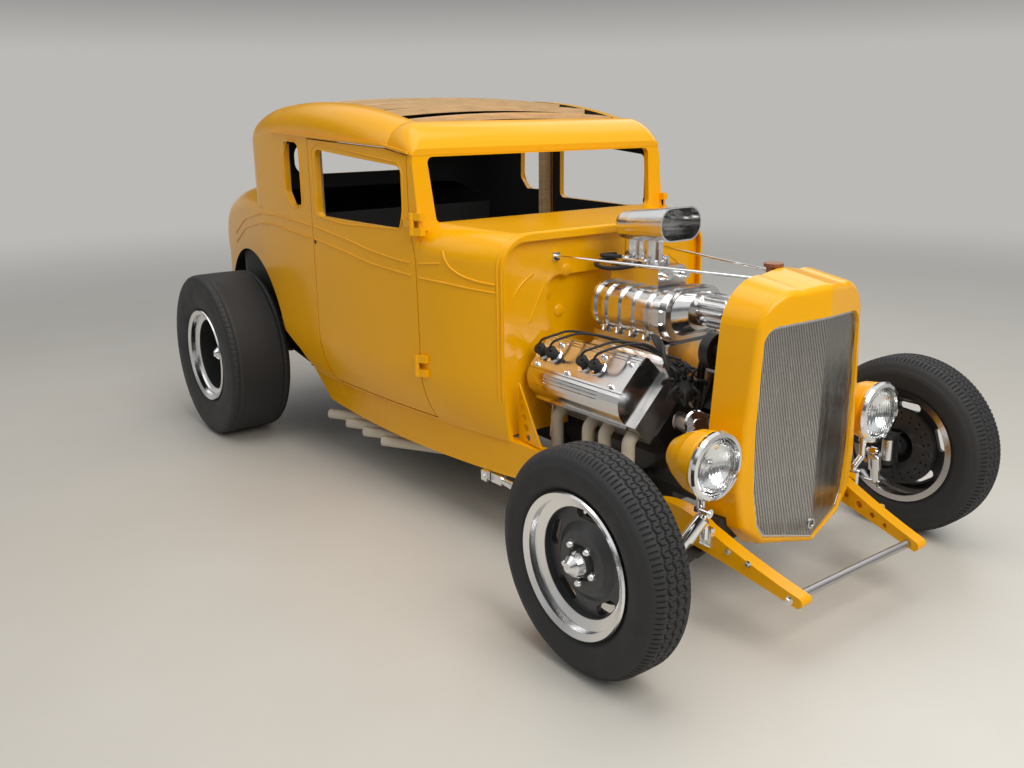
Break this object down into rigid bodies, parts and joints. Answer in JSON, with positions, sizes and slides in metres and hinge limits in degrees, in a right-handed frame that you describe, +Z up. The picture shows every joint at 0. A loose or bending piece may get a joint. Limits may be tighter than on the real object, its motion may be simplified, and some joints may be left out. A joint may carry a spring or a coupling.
{
  "type": "hot rod coupe",
  "caption": "Fenderless chopped steel coupe with an open blown V-engine, ladder frame, drilled dropped front axle and wide rear tyres; wheels, steering, doors and trunk lid move.",
  "frame": {"origin": "on the floor, at the middle of the overall length and width", "axes": "+X forward along the length, +Y to the car's left, +Z up"},
  "size_m": [3.5505, 1.745, 1.5628],
  "materials": {
    "yellow_paint": "gloss",
    "frame_paint": "gloss",
    "black_paint": "satin",
    "polished_axle": "polished",
    "brushed_tube": "brushed",
    "stainless_bars": "polished",
    "chrome": "mirror bright",
    "clear_glass": "clear",
    "polished_alloy": "polished",
    "cast_alloy": "as cast",
    "cast_iron": "satin",
    "copper": "aged",
    "black_anodised": "satin",
    "belt_rubber": "matte",
    "scoop_finish": "polished",
    "pipe_coating": "matt ceramic",
    "grey_wheel": "satin",
    "polished_wheel": "polished",
    "front_tyre": "matte",
    "rear_tyre": "matte",
    "wood": "oiled"
  },
  "bodies": {
    "chassis": {"air_scoop": "scoop_finish", "blower_belt": "belt_rubber", "blower_drive": "black_anodised", "cowl": "yellow_paint", "cowl_gussets": "yellow_paint", "crossmembers": "black_paint", "cylinder_heads": "cast_alloy", "drip_rails": "yellow_paint", "driveshaft": "black_paint", "engine_block": "cast_iron", "firewall": "yellow_paint", "floor_pan": "black_paint", "frame_rails": "frame_paint", "front_axle": "polished_axle", "front_dampers": "chrome", "front_spring": "black_paint", "gearbox": "black_paint", "grille_insert": "stainless_bars", "grille_shell": "yellow_paint", "hairpin_rods": "chrome", "header_pipes": "pipe_coating", "inner_panels": "black_paint", "intake_manifold": "polished_alloy", "lamp_buckets": "yellow_paint", "lamp_lenses": "clear_glass", "lamp_rings": "chrome", "lamp_stands": "chrome", "radiator": "copper", "rear_arms": "black_paint", "rear_axle": "black_paint", "rear_body": "yellow_paint", "roof": "yellow_paint", "sills": "yellow_paint", "spreader_bar": "brushed_tube", "spring_legs": "black_paint", "stay_rods": "chrome", "supercharger": "polished_alloy", "valve_covers": "polished_alloy", "wheel_tubs": "black_paint", "wood_frame": "wood"},
    "knuckle_right": {"knuckle_right": "black_paint", "brake_caliper_right": "cast_alloy"},
    "knuckle_left": {"knuckle_left": "black_paint", "brake_caliper_left": "cast_alloy"},
    "front_wheel_right": {"front_wheel_right": "grey_wheel", "front_tyre_right": "front_tyre", "brake_rotor_right": "cast_iron"},
    "front_wheel_left": {"front_wheel_left": "grey_wheel", "front_tyre_left": "front_tyre", "brake_rotor_left": "cast_iron"},
    "rear_wheel_right": {"rear_wheel_right": "polished_wheel", "rear_tyre_right": "rear_tyre", "rear_drum_right": "cast_iron"},
    "rear_wheel_left": {"rear_wheel_left": "polished_wheel", "rear_tyre_left": "rear_tyre", "rear_drum_left": "cast_iron"},
    "tie_rod": {"tie_rod": "black_paint"},
    "door_right": {"door_right": "yellow_paint"},
    "door_left": {"door_left": "yellow_paint"},
    "deck_lid": {"deck_lid": "yellow_paint"}
  },
  "joints": [
    {"name": "steer_right", "type": "hinge", "parent": "chassis", "child": "knuckle_right", "pos_m": [1.415, -0.648, 0.3225], "axis": [0, 0, 1], "range_deg": [-28, 28]},
    {"name": "steer_left", "type": "hinge", "parent": "chassis", "child": "knuckle_left", "pos_m": [1.415, 0.648, 0.3225], "axis": [0, 0, 1], "range_deg": [-28.1, 28.1]},
    {"name": "tie_rod_slide", "type": "slide", "parent": "chassis", "child": "tie_rod", "axis": [0, 1, 0], "range_m": [-0.0615, 0.0615]},
    {"name": "spin_front_right", "type": "hinge", "parent": "knuckle_right", "child": "front_wheel_right", "pos_m": [1.415, -0.768, 0.3225], "axis": [0, 1, 0], "continuous": true},
    {"name": "spin_front_left", "type": "hinge", "parent": "knuckle_left", "child": "front_wheel_left", "pos_m": [1.415, 0.768, 0.3225], "axis": [0, 1, 0], "continuous": true},
    {"name": "spin_rear_right", "type": "hinge", "parent": "chassis", "child": "rear_wheel_right", "pos_m": [-1.277, -0.7275, 0.3865], "axis": [0, 1, 0], "continuous": true},
    {"name": "spin_rear_left", "type": "hinge", "parent": "chassis", "child": "rear_wheel_left", "pos_m": [-1.277, 0.7275, 0.3865], "axis": [0, 1, 0], "continuous": true},
    {"name": "door_right_hinge", "type": "hinge", "parent": "chassis", "child": "door_right", "pos_m": [0.295, -0.62, 0.8], "axis": [0, 0, 1], "range_deg": [0, 70]},
    {"name": "door_left_hinge", "type": "hinge", "parent": "chassis", "child": "door_left", "pos_m": [0.295, 0.62, 0.8], "axis": [0, 0, -1], "range_deg": [0, 70]},
    {"name": "deck_lid_hinge", "type": "hinge", "parent": "chassis", "child": "deck_lid", "pos_m": [-1.3495, 0, 1.171], "axis": [0, 1, 0], "range_deg": [0, 60]}
  ],
  "couplings": [
    {"joint": "steer_left", "follows": "steer_right", "ratio": 1},
    {"joint": "tie_rod_slide", "follows": "steer_right", "m_per_rad": -0.125}
  ]
}
